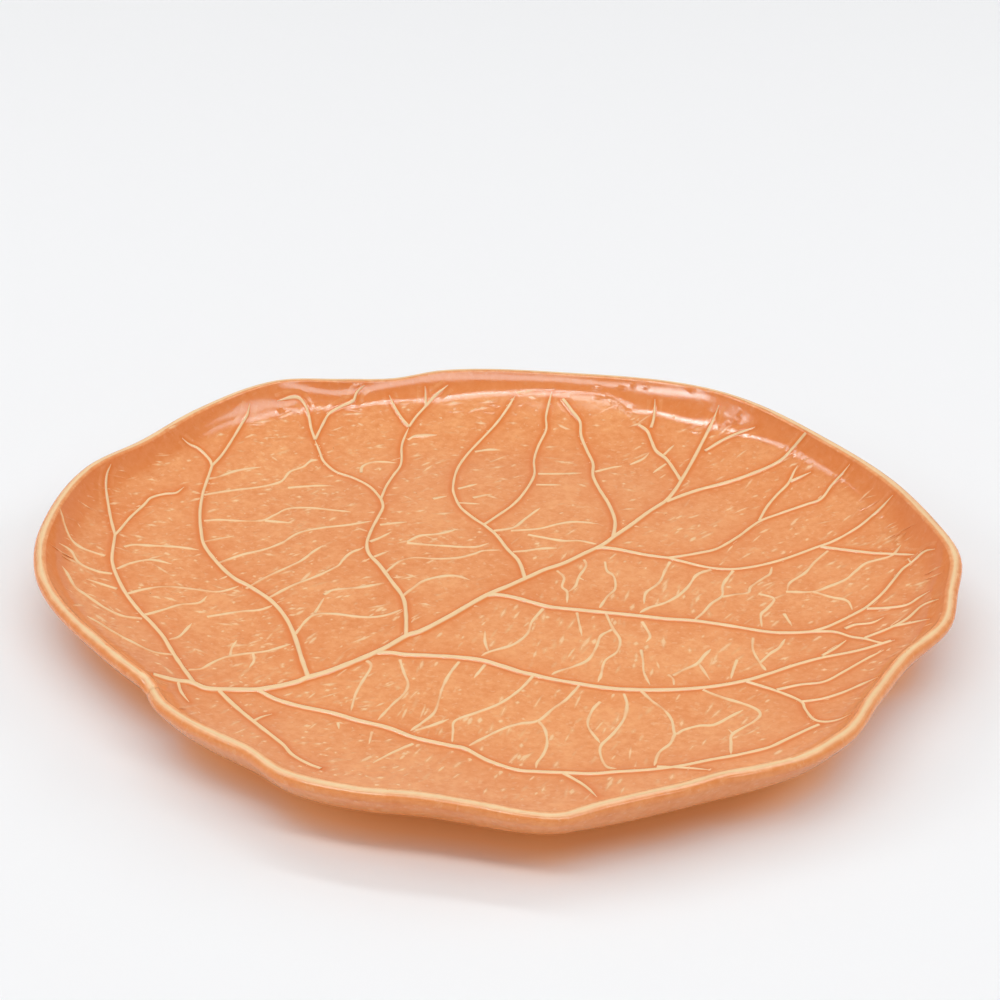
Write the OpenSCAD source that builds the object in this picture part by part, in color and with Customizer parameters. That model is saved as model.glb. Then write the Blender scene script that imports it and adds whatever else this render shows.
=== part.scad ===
// Leaf shaped plate: a pressed clay leaf with raised veins and a rounded lip, a foot ring
// luted under it, and coats of glaze that leave the veins and the lip in the pale clay.

/* [Leaf] */
// Width of the leaf from side to side
leaf_w = 282.5; // [230:0.5:340]
// Length of the leaf from stem notch to tip
leaf_l = 267; // [230:0.5:320]
// Thickness of the pressed clay
slab_t = 5; // [4:0.1:6.5]
// Thickness of the clay at the lip
lip_t = 3.4; // [2.6:0.1:4]
// Mean height of the rim's crest above the table
rim_h = 22; // [20:0.5:30]
// Height by which the rim waves up and down
rim_wave = 3; // [0:0.1:4]
// Lean of the wall at the lip, degrees above level
lip_lean = 50; // [40:1:58]

/* [Dish] */
// Mean width of the steep wall inside the rim
wall_w = 11; // [9:0.5:16]
// Rise of the floor between the foot and the steep wall
belly_h = 5; // [3:0.1:6]

/* [Foot] */
// Outer radius of the foot ring
foot_r = 78; // [60:1:85]
// Width of the foot ring where it meets the leaf
foot_w = 8; // [6:0.5:12]
// Height of the foot ring
foot_h = 4; // [3:0.1:6]
// Slope-in of each side of the foot ring
foot_draft = 1; // [0.2:0.1:2]

/* [Veins] */
// Width of the midrib at the stem
midrib_w = 3.2; // [2:0.1:5]
// Height of the midrib above the clay
midrib_h = 1.4; // [0.9:0.1:2]
// Width of a side vein where it leaves the midrib
side_w = 2.2; // [1.6:0.1:3]
// Height of a side vein above the clay
side_h = 1; // [0.8:0.1:1.6]
// Width of a cross vein
cross_w = 1.4; // [1:0.1:2]
// Height of a cross vein above the clay
cross_h = 0.8; // [0.7:0.05:1.2]

/* [Glaze] */
// Thickness of each coat of glaze
glaze_t = 0.4; // [0.3:0.05:0.6]
// Width of bare clay wiped clean beside the foot ring
foot_bare = 1.5; // [0.5:0.1:4]

/* [Hidden] */

clay_color = [0.93, 0.84, 0.66];
glaze_color = [0.87, 0.52, 0.27];
full_turn = 360;
quarter_turn = 90;
ring_facets = 96;

// Outline of the rim: angle from the right, radius share, lift share of the wave
rim_shares = [
  [0, 0.954, 0.1], [11, 0.929, -0.3], [20, 0.963, 0.1], [28, 0.96, 0.3],
  [37, 0.968, 0.4], [47, 0.944, 0.3], [55, 0.931, 0.2], [75, 0.916, 0],
  [97, 0.934, 0.3], [120, 0.909, 0], [140, 0.911, 0.2], [148, 0.909, -0.2],
  [156, 0.934, 0.2], [165, 0.985, 0.6], [178, 0.99, 0.1], [189, 0.982, -0.2],
  [200, 1.004, 0.2], [215, 0.996, 0], [222, 0.988, 0], [231, 0.968, 0],
  [246, 0.912, -0.1], [252, 0.898, -0.1], [257, 0.889, -0.15], [259.5, 0.886, -0.3],
  [261, 0.885, -0.9], [262.3, 0.898, -0.35], [264, 0.909, -0.1], [266, 0.918, -0.1],
  [271, 0.928, 0], [276, 0.932, 0], [281, 0.94, 0], [287, 0.975, 0],
  [296, 0.984, 0.1], [302, 0.981, 0.2], [308, 0.992, 0], [312, 1.012, -0.1],
  [314, 1.021, -0.15], [316, 1.028, -0.2], [317.5, 1.027, -0.2], [319.5, 1.017, -0.15],
  [322, 1.006, -0.1], [326.5, 0.997, 0], [331, 0.992, 0], [335, 0.986, 0],
  [339, 0.996, 0], [345, 1.008, 0], [349, 1.003, 0.05], [353, 0.993, 0.1]
];
notch_angle = 261;
// Sections crowd together toward the stem notch by this much of a turn
crowd_angle = 28;
sides = 96;

// Stations along a section, from the centre out
flat_shares = [0.5, 1];
belly_shares = [0.25, 0.5, 0.75, 1];
wall_shares = [0.34, 0.67, 1];
stations = len(flat_shares) + len(belly_shares) + len(wall_shares);
// Stations round the lip, degrees above level
lip_angles = [90, 30, 0];
// Lip stations that the outer coat climbs over
coat_lip_angles = [0, 30];

half_t = slab_t / 2;
lip_half_t = lip_t / 2;
seat_r = foot_r + foot_bare;
seat_z = foot_h + half_t;
lip_slope = tan(lip_lean);

function wrap(k, n) = (k % n + n) % n;
function hermite(p, q, m, k, u) =
  p * (2 * u * u * u - 3 * u * u + 1) + m * (u * u * u - 2 * u * u + u)
  + q * (3 * u * u - 2 * u * u * u) + k * (u * u * u - u * u);

// Smooth closed curve through the rows of the rim's table
rim_rows = len(rim_shares);
function row_angle(k) = rim_shares[wrap(k, rim_rows)][0] + full_turn * floor(k / rim_rows);
function row_share(k, c) = rim_shares[wrap(k, rim_rows)][c];
function row_slope(k, c) =
  (row_share(k + 1, c) - row_share(k - 1, c)) / (row_angle(k + 1) - row_angle(k - 1));
function row_before(a) = max([for (k = [0 : rim_rows - 1]) if (rim_shares[k][0] <= a) k]);
function rim_at(a, c) =
  let (
    k = row_before(a),
    span = row_angle(k + 1) - row_angle(k),
    u = (a - row_angle(k)) / span
  )
  hermite(row_share(k, c), row_share(k + 1, c), row_slope(k, c) * span, row_slope(k + 1, c) * span, u);

// Rim points, scaled so that the leaf is leaf_w by leaf_l about the origin
rim_angles = [
  for (i = [0 : sides - 1])
    let (t = full_turn * i / sides)
    wrap(t - crowd_angle * sin(t - notch_angle), full_turn)
];
raw_rim = [for (a = rim_angles) rim_at(a, 1) * [cos(a), sin(a)]];
raw_x = [for (p = raw_rim) p[0]];
raw_y = [for (p = raw_rim) p[1]];
raw_mid = [max(raw_x) + min(raw_x), max(raw_y) + min(raw_y)] / 2;
scale_x = leaf_w / (max(raw_x) - min(raw_x));
scale_y = leaf_l / (max(raw_y) - min(raw_y));
function fitted(p) = [(p[0] - raw_mid[0]) * scale_x, (p[1] - raw_mid[1]) * scale_y];
rim_points = [for (p = raw_rim) fitted(p)];
rim_dirs = [for (p = rim_points) p / norm(p)];

// Middle surface of the clay on each section: radius, height, slope, half thickness
lip_rs = [for (p = rim_points) norm(p) - lip_half_t - glaze_t];
lip_zs = [for (a = rim_angles) rim_h + rim_wave * rim_at(a, 2) - lip_half_t];
// The lobes of the rim die away down the wall: its foot follows the mean of the sections round it
mean_reach = 4;
mean_shares = [for (k = [-mean_reach : mean_reach]) 1 / (2 * mean_reach + 1)];
foot_rs = [
  for (i = [0 : sides - 1])
    mean_shares * [for (k = [-mean_reach : mean_reach]) lip_rs[wrap(i + k, sides)]] - wall_w
];
function flat_mid(s) = [seat_r * s, seat_z, 0, half_t];
function belly_run(i) = foot_rs[i] - seat_r;
function wall_run(i) = lip_rs[i] - foot_rs[i];
function belly_mid(i, s) =
  [seat_r + belly_run(i) * s, seat_z + belly_h * s * s, 2 * belly_h * s / belly_run(i), half_t];
function wall_z(i, s) =
  hermite(
    seat_z + belly_h,
    lip_zs[i],
    2 * belly_h / belly_run(i) * wall_run(i),
    lip_slope * wall_run(i),
    s
  );
// Share by which the slope of the wall is measured to each side
probe_share = 0.001;
function wall_mid(i, s) =
  [
    foot_rs[i] + wall_run(i) * s,
    wall_z(i, s),
    (wall_z(i, s + probe_share) - wall_z(i, s - probe_share)) / (2 * probe_share * wall_run(i)),
    hermite(half_t, lip_half_t, 0, 0, s)
  ];
mids = [
  for (i = [0 : sides - 1])
    concat(
      [for (s = flat_shares) flat_mid(s)],
      [for (s = belly_shares) belly_mid(i, s)],
      [for (s = wall_shares) wall_mid(i, s)]
    )
];

// Points of the clay's faces, or of a coat on them: above and below the middle, and round the lip
function above(m, coat) = [m[0], m[1]] + (m[3] + coat) * [-m[2], 1] / norm([1, m[2]]);
function below(m, coat) = [m[0], m[1]] - (m[3] + coat) * [-m[2], 1] / norm([1, m[2]]);
function lip(i, a, coat) = [lip_rs[i], lip_zs[i]] + (lip_half_t + coat) * [cos(a), sin(a)];
function place(i, p) = [p[0] * rim_dirs[i][0], p[0] * rim_dirs[i][1], p[1]];

// Height of the clay's upper face at a point of the plan
function side_of(p) =
  let (near = [for (d = rim_dirs) d * p / norm(p)])
  search(max(near), near)[0];
function face_z(p) =
  let (
    tops = [for (m = mids[side_of(p)]) above(m, 0)],
    outline = concat([[0, seat_z + half_t]], tops)
  )
  lookup(norm(p), outline);

// Closed skin over sections that start and end on the axis
module dome(sections, top_z, low_z, turn) {
  n = len(sections[0]);
  points = concat(
    [[0, 0, top_z], [0, 0, low_z]],
    [for (i = [0 : sides - 1]) for (p = sections[i]) place(i, p)]
  );
  function at(i, j) = 2 + wrap(i, sides) * n + j;
  polyhedron(points, concat(
    [for (i = [0 : sides - 1]) [0, at(i + 1, 0), at(i, 0)]],
    [for (i = [0 : sides - 1]) [1, at(i, n - 1), at(i + 1, n - 1)]],
    [
      for (i = [0 : sides - 1], j = [0 : n - 2])
        j < turn ? [at(i, j), at(i + 1, j), at(i + 1, j + 1)] : [at(i, j), at(i + 1, j), at(i, j + 1)]
    ],
    [
      for (i = [0 : sides - 1], j = [0 : n - 2])
        j < turn
          ? [at(i, j), at(i + 1, j + 1), at(i, j + 1)]
          : [at(i + 1, j), at(i + 1, j + 1), at(i, j + 1)]
    ]
  ));
}

// Closed skin over sections that are loops
module band(sections, turn) {
  n = len(sections[0]);
  points = [for (i = [0 : sides - 1]) for (p = sections[i]) place(i, p)];
  function at(i, j) = wrap(i, sides) * n + wrap(j, n);
  polyhedron(points, concat(
    [
      for (i = [0 : sides - 1], j = [0 : n - 1])
        j < turn ? [at(i, j), at(i + 1, j + 1), at(i + 1, j)] : [at(i, j), at(i, j + 1), at(i + 1, j)]
    ],
    [
      for (i = [0 : sides - 1], j = [0 : n - 1])
        j < turn
          ? [at(i, j), at(i, j + 1), at(i + 1, j + 1)]
          : [at(i + 1, j), at(i, j + 1), at(i + 1, j + 1)]
    ]
  ));
}

// Midrib from the stem notch to the tip, in shares of the half width and half length
midrib_shares = [
  [-0.17, -0.81], [-0.08, -0.73], [-0.01, -0.62], [0.025, -0.45], [0.035, -0.25], [0.035, -0.08],
  [0.055, 0.1], [0.08, 0.27], [0.07, 0.45], [0.025, 0.63], [-0.03, 0.78], [-0.09, 0.92]
];
// Side veins: start share along the midrib, angle of the end, bow share
side_shares = [
  [0.02, 198, 0.1], [0.2, 174, 0.12], [0.37, 140, 0.12], [0.56, 128, 0.17],
  [0.71, 119, 0.05], [0.87, 111, -0.04],
  [0.05, 284, -0.03], [0.11, 358, -0.2], [0.31, 17, -0.14], [0.51, 44, -0.24],
  [0.68, 68, -0.14], [0.8, 81, -0.08]
];
// Forks: row of the side vein, start share along it, angle of the end, bow share
fork_shares = [
  [0, 0.68, 188, -0.08], [1, 0.78, 182, 0.1], [2, 0.5, 160, 0.08], [3, 0.36, 123, -0.14],
  [7, 0.56, 326, 0.08], [8, 0.66, 3, 0.1], [9, 0.68, 28, 0.1], [10, 0.26, 57, -0.2]
];
// Cross veins: rows of two side veins, share along the first, share along the second
cross_shares = [
  [0, 1, 0.3, 0.36], [0, 1, 0.55, 0.55], [1, 2, 0.3, 0.3], [1, 2, 0.52, 0.45], [1, 2, 0.72, 0.58],
  [2, 3, 0.3, 0.28], [2, 3, 0.5, 0.42], [3, 4, 0.32, 0.24], [7, 8, 0.24, 0.24], [7, 8, 0.42, 0.4],
  [7, 8, 0.62, 0.6], [8, 9, 0.26, 0.28], [8, 9, 0.46, 0.46], [8, 9, 0.66, 0.64], [9, 10, 0.3, 0.4]
];
// Share of the rim's radius at which a side vein runs out
vein_reach_share = 0.92;
// Share of the way across at which a cross vein runs out
cross_reach_share = 0.8;
// Share of its width and height that a vein keeps at its far end
vein_taper_share = 0.6;
// Share of the foot's width that the top of a vein keeps
vein_crown_share = 0.5;
// Share of the clay's thickness that a vein is rooted through
vein_root_share = 0.8;
vein_root = slab_t * vein_root_share;
vein_facets = 6;
side_steps = 6;
fork_steps = 3;

half_size = [leaf_w / 2, leaf_l / 2];
function scaled(p) = [p[0] * half_size[0], p[1] * half_size[1]];
function mix(p, q, u) = p * (1 - u) + q * u;
function along(path, u) =
  let (
    t = u * (len(path) - 1),
    k = min(floor(t), len(path) - 2)
  )
  mix(path[k], path[k + 1], t - k);
function vein_end(a) = fitted(rim_at(a, 1) * [cos(a), sin(a)]) * vein_reach_share;
// Bowed path from p to q
function bowed(p, q, bow, steps) =
  let (c = (p + q) / 2 + 2 * bow * [p[1] - q[1], q[0] - p[0]])
  [for (k = [0 : steps]) let (u = k / steps) mix(mix(p, c, u), mix(c, q, u), u)];

midrib_path = [for (p = midrib_shares) scaled(p)];
side_paths = [for (s = side_shares) bowed(along(midrib_path, s[0]), vein_end(s[1]), s[2], side_steps)];
fork_paths = [
  for (f = fork_shares) bowed(along(side_paths[f[0]], f[1]), vein_end(f[2]), f[3], fork_steps)
];
cross_paths = [
  for (c = cross_shares)
    let (
      p = along(side_paths[c[0]], c[2]),
      q = along(side_paths[c[1]], c[3])
    )
    [p, mix(p, q, cross_reach_share)]
];

module vein(path, w, h) {
  last = len(path) - 1;
  for (k = [0 : last - 1])
    hull()
      for (e = [k, k + 1])
        let (keep = 1 - (1 - vein_taper_share) * e / last)
        translate([path[e][0], path[e][1], face_z(path[e]) - vein_root])
          cylinder(
            h = vein_root + h * keep,
            d1 = w * keep,
            d2 = w * keep * vein_crown_share,
            $fn = vein_facets
          );
}

module veins() {
  vein(midrib_path, midrib_w, midrib_h);
  for (p = side_paths)
    vein(p, side_w, side_h);
  for (p = fork_paths)
    vein(p, side_w * vein_taper_share, side_h);
  for (p = cross_paths)
    vein(p, cross_w, cross_h);
}

// The pressed leaf: floor, wall, rounded lip and raised veins
module leaf_slab() {
  sections = [
    for (i = [0 : sides - 1])
      concat(
        [for (m = mids[i]) above(m, 0)],
        [for (a = lip_angles) lip(i, a, 0)],
        [for (j = [stations - 1 : -1 : 0]) below(mids[i][j], 0)]
      )
  ];
  color(clay_color) {
    dome(sections, seat_z + half_t, seat_z - half_t, stations - 1);
    veins();
  }
}

// The coil the plate stands on
module foot_ring() {
  color(clay_color)
    rotate_extrude($fn = ring_facets)
      polygon([
        [foot_r - foot_w, foot_h],
        [foot_r, foot_h],
        [foot_r - foot_draft, 0],
        [foot_r - foot_w + foot_draft, 0]
      ]);
}

// The coat inside the dish, parted by the veins
module face_glaze() {
  sections = [
    for (i = [0 : sides - 1])
      concat(
        [for (m = mids[i]) above(m, glaze_t)],
        [for (j = [stations - 1 : -1 : 0]) above(mids[i][j], 0)]
      )
  ];
  color(glaze_color)
    difference() {
      dome(sections, seat_z + half_t + glaze_t, seat_z + half_t, stations - 1);
      veins();
    }
}

// The coat over the outside, from the lip to the foot
module back_glaze() {
  first = len(flat_shares) - 1;
  sections = [
    for (i = [0 : sides - 1])
      concat(
        [for (j = [first : stations - 1]) below(mids[i][j], 0)],
        [for (a = coat_lip_angles) lip(i, a, 0)],
        [for (k = [len(coat_lip_angles) - 1 : -1 : 0]) lip(i, coat_lip_angles[k], glaze_t)],
        [for (j = [stations - 1 : -1 : first]) below(mids[i][j], glaze_t)]
      )
  ];
  color(glaze_color)
    band(sections, stations - first + len(coat_lip_angles) - 1);
}

// The coat inside the foot ring
module base_glaze() {
  color(glaze_color)
    translate([0, 0, foot_h - glaze_t])
      cylinder(h = glaze_t, r = foot_r - foot_w - foot_bare, $fn = ring_facets);
}

leaf_slab();
foot_ring();
face_glaze();
back_glaze();
base_glaze();
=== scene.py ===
import math

import bpy
import numpy as np
from mathutils import Matrix, Vector, noise
from mathutils.bvhtree import BVHTree
from mathutils.kdtree import KDTree


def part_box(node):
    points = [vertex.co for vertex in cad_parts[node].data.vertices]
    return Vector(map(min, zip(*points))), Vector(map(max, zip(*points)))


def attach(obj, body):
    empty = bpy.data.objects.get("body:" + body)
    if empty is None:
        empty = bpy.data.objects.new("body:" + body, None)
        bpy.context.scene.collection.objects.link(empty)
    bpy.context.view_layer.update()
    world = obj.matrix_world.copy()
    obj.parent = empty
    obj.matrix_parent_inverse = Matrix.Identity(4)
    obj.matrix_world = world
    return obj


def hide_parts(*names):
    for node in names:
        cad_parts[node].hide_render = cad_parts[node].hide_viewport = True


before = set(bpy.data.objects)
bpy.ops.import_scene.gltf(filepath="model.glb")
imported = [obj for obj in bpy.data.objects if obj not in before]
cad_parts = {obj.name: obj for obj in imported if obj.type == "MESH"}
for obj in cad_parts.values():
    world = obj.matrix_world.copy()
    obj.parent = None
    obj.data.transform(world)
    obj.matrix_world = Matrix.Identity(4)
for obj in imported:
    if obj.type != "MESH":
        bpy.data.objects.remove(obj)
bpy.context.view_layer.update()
scene = bpy.context.scene
scene.view_settings.view_transform = "Standard"
mm = 0.001

# The camera stands about 0.75 m from the middle of the leaf, off its near right edge, and looks down.
# It comes first because the veins are laid along its lines of sight.
image_px = 1000
sensor_mm = 36
lens_mm = 88.7
eye = Vector((0.4331, -0.4982, 0.3725))
camera_pitch = math.radians(63.02)
camera_turn = math.radians(41)
bpy.ops.object.select_all(action="DESELECT")
bpy.ops.object.camera_add(location=eye, rotation=(camera_pitch, 0, camera_turn))
camera = bpy.context.object
camera.name = "table_camera"
camera.data.sensor_width = sensor_mm
camera.data.lens = lens_mm
scene.camera = camera
sight_turn = camera.rotation_euler.to_matrix()
focal_px = lens_mm / sensor_mm * image_px


def sight_line(x, y):
    """Direction from the camera through a pixel."""
    half = image_px / 2
    return (sight_turn @ Vector((x - half, half - y, -focal_px))).normalized()


# The leaf is one slab of pale clay pressed over a mould, 5 mm thick, with a soft dished floor.
# Its wall leans out and thins to a rounded lip, whose outline waves and opens at the stem.
slab_half = 2.5 * mm
lip_half = 1.7 * mm
glaze_t = 0.4 * mm
rim_h = 22 * mm
rim_wave = 3 * mm
wall_power = 1.4
seat_r = 79.5 * mm
seat_z = 6.5 * mm
stem_angle = 261
stem_crowding = 20
lobe_sections = 96
lobe_crowding = 28
lobe_reach = 2
# Stations where the flat floor ends and the wall starts, and the span of the belly and of the wall
flat_end = 0.4
wall_start = 0.7
band_span = 0.3
# Outline of the rim: angle from the right, radius share, lift share of the wave
rim_rows = np.array([
    (0, 0.954, 0.1), (11, 0.929, -0.3), (20, 0.963, 0.1), (28, 0.96, 0.3),
    (37, 0.968, 0.4), (47, 0.944, 0.3), (55, 0.931, 0.2), (75, 0.916, 0),
    (97, 0.934, 0.3), (120, 0.909, 0), (140, 0.911, 0.2), (148, 0.909, -0.2),
    (156, 0.934, 0.2), (165, 0.985, 0.6), (178, 0.99, 0.1), (189, 0.982, -0.2),
    (200, 1.004, 0.2), (215, 0.996, 0), (222, 0.988, 0), (231, 0.968, 0),
    (246, 0.912, -0.1), (252, 0.898, -0.1), (257, 0.889, -0.15), (259.5, 0.886, -0.3),
    (261, 0.885, -0.9), (262.3, 0.898, -0.35), (264, 0.909, -0.1), (266, 0.918, -0.1),
    (271, 0.928, 0), (276, 0.932, 0), (281, 0.94, 0), (287, 0.975, 0),
    (296, 0.984, 0.1), (302, 0.981, 0.2), (308, 0.992, 0), (312, 1.012, -0.1),
    (314, 1.021, -0.15), (316, 1.028, -0.2), (317.5, 1.027, -0.2), (319.5, 1.017, -0.15),
    (322, 1.006, -0.1), (326.5, 0.997, 0), (331, 0.992, 0), (335, 0.986, 0),
    (339, 0.996, 0), (345, 1.008, 0), (349, 1.003, 0.05), (353, 0.993, 0.1),
])
# The wall inside: angle from the right, width and height of its foot over the floor in millimetres
wall_rows = np.array([
    (0, 10.5, 5), (40, 10.5, 5), (70, 10.5, 5), (84, 11, 5), (90, 13, 4.4), (95, 16.5, 3.6), (104, 17, 3.6),
    (109, 16.5, 3.8), (112.5, 12.2, 5.7), (115.5, 11.3, 6.2), (122, 11.3, 6.3), (128, 11.3, 6.3),
    (134, 11.5, 6.1), (140, 13.5, 5.2), (145, 12.5, 5.6), (150, 11.5, 6), (157, 12, 5.6), (163, 13.5, 5.2),
    (170, 14, 5), (176, 12.5, 5), (184, 11, 5), (220, 10.5, 5), (260, 10.5, 5), (280, 10.5, 5),
    (296, 12, 5), (303, 13, 5), (309, 12, 5), (316, 10.5, 5), (335, 10.5, 5),
])


def hermite(p, q, m, k, u):
    """Cubic from p to q with end slopes m and k."""
    return (
        p * (2 * u**3 - 3 * u**2 + 1) + m * (u**3 - 2 * u**2 + u)
        + q * (3 * u**2 - 2 * u**3) + k * (u**3 - u**2)
    )


def closed_curve(rows, angles, column):
    """Smooth closed curve through one column of a table of rows by angle."""
    at = np.concatenate((rows[-2:, 0] - 360, rows[:, 0], rows[:3, 0] + 360))
    value = np.concatenate((rows[-2:, column], rows[:, column], rows[:3, column]))
    slope = np.gradient(value)
    slope[1:-1] = (value[2:] - value[:-2]) / (at[2:] - at[:-2])
    k = np.searchsorted(at, angles % 360, side="right") - 1
    span = at[k + 1] - at[k]
    u = (angles % 360 - at[k]) / span
    return hermite(value[k], value[k + 1], slope[k] * span, slope[k + 1] * span, u)


def rim_plan(angles):
    """Outermost points of the leaf in plan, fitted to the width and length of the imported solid."""
    def traced(turns):
        ways = np.radians(turns)
        return closed_curve(rim_rows, turns, 1) * np.array((np.cos(ways), np.sin(ways)))

    lo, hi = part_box("back_glaze")
    raw = traced(np.arange(0, 360, 0.25))
    low, high = raw.min(1), raw.max(1)
    size = np.array((hi[0] - lo[0], hi[1] - lo[1]))
    return (traced(angles).T - (low + high) / 2) * size / (high - low)


def wall_foot(angles):
    """Radius at the foot of the wall, where the lobes of the rim have died away to their mean."""
    turns = np.arange(lobe_sections) * 360 / lobe_sections
    ways = (turns - lobe_crowding * np.sin(np.radians(turns - stem_angle))) % 360
    lip_r = np.linalg.norm(rim_plan(ways), axis=1) - lip_half - glaze_t
    mean_r = np.mean([np.roll(lip_r, k) for k in range(-lobe_reach, lobe_reach + 1)], axis=0)
    return np.interp(angles % 360, ways, mean_r, period=360) - closed_curve(wall_rows, angles, 1) * mm


def leaf_skin(angles, stations, coats):
    """Points on the clay, or a coat's thickness off it. Stations run 0 to 1 out over the face,
    1 to 2 round the lip and 2 to 3 back in under the leaf."""
    plan = rim_plan(angles)
    rim_r = np.linalg.norm(plan, axis=1)
    lip_r = rim_r - lip_half - glaze_t
    lip_z = rim_h + rim_wave * closed_curve(rim_rows, angles, 2) - lip_half
    out = np.where(stations > 2, 3 - stations, np.minimum(stations, 1))
    belly_run = wall_foot(angles) - seat_r
    belly_h = closed_curve(wall_rows, angles, 2) * mm
    wall_run = lip_r - seat_r - belly_run
    on_flat = np.clip(out / flat_end, 0, 1)
    on_belly = np.clip((out - flat_end) / band_span, 0, 1)
    on_wall = np.clip((out - wall_start) / band_span, 0, 1)
    belly_slope = 2 * belly_h / belly_run
    mean_slope = (lip_z - seat_z - belly_h) / wall_run
    steep = belly_slope + (mean_slope - belly_slope) * (wall_power + 1)
    wall_z = belly_slope * on_wall + (steep - belly_slope) * on_wall ** (wall_power + 1) / (wall_power + 1)

    r = seat_r * on_flat + belly_run * on_belly + wall_run * on_wall
    z = seat_z + belly_h * on_belly**2 + wall_z * wall_run
    wall_slope = belly_slope + (steep - belly_slope) * on_wall**wall_power
    slope = np.where(on_wall > 0, wall_slope, belly_slope * on_belly)
    half = hermite(slab_half, lip_half, 0, 0, on_wall)
    tilt = np.arctan(slope)
    turn = np.pi * np.clip(stations - 1, 0, 1)
    reach = np.where(stations <= 1, half, np.where(stations >= 2, half, lip_half)) + coats
    across = np.cos(np.pi / 2 + tilt - turn) * reach
    up = np.sin(np.pi / 2 + tilt - turn) * reach
    ways = plan / rim_r[:, None]
    return np.column_stack((ways * (r + across)[:, None], z + up))


def moulded_ball(name, segments, rings):
    """A ball primitive whose rings are moulded to the leaf; each ring is (station, coat)."""
    bpy.ops.object.select_all(action="DESELECT")
    bpy.ops.mesh.primitive_uv_sphere_add(segments=segments, ring_count=len(rings) - 1, radius=1)
    piece = bpy.context.object
    piece.name = piece.data.name = name
    points = np.empty(len(piece.data.vertices) * 3)
    piece.data.vertices.foreach_get("co", points)
    points = points.reshape(-1, 3)
    turns = np.degrees(np.arctan2(points[:, 1], points[:, 0]))
    angles = turns - stem_crowding * np.sin(np.radians(turns - stem_angle))
    row = np.rint(np.arccos(np.clip(points[:, 2], -1, 1)) / np.pi * (len(rings) - 1)).astype(int)
    stations, coats = np.array(rings).T
    moulded = leaf_skin(angles, stations[row], coats[row])
    piece.data.vertices.foreach_set("co", moulded.ravel())
    piece.data.update()
    bpy.ops.object.shade_smooth()
    return piece, stations[row], coats[row]


def mark(piece, name, values):
    """Writes one number per vertex for the finish to read."""
    layer = piece.data.attributes.new(name, "FLOAT", "POINT")
    layer.data.foreach_set("value", np.asarray(values, dtype=np.float32))


def link(tree, source, target):
    tree.links.new(source, target)


def noise_of(tree, place, scale, detail, rough=0.5):
    """Cloudy noise, 0 to 1."""
    node = tree.nodes.new("ShaderNodeTexNoise")
    node.inputs["Scale"].default_value = scale
    node.inputs["Detail"].default_value = detail
    node.inputs["Roughness"].default_value = rough
    link(tree, place, node.inputs["Vector"])
    return node.outputs["Fac"]


def ranged(tree, source, low, high, to_low=0.0, to_high=1.0, smooth=True):
    """A value carried from one range to another, softly unless told otherwise."""
    node = tree.nodes.new("ShaderNodeMapRange")
    node.interpolation_type = "SMOOTHSTEP" if smooth else "LINEAR"
    node.inputs["From Min"].default_value = low
    node.inputs["From Max"].default_value = high
    node.inputs["To Min"].default_value = to_low
    node.inputs["To Max"].default_value = to_high
    link(tree, source, node.inputs["Value"])
    return node.outputs["Result"]


def sums(tree, operation, first, second):
    """Two values added or multiplied."""
    node = tree.nodes.new("ShaderNodeMath")
    node.operation = operation
    for socket, value in zip(node.inputs, (first, second)):
        if isinstance(value, (int, float)):
            socket.default_value = value
        else:
            link(tree, value, socket)
    return node.outputs["Value"]


def mixed(tree, share, first, second):
    """One colour turning to another by a share."""
    node = tree.nodes.new("ShaderNodeMix")
    node.data_type = "RGBA"
    for socket, value in zip((node.inputs[0], node.inputs[6], node.inputs[7]), (share, first, second)):
        if isinstance(value, (int, float)):
            socket.default_value = value
        elif isinstance(value, tuple):
            socket.default_value = (*value, 1)
        else:
            link(tree, value, socket)
    return node.outputs[2]


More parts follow.
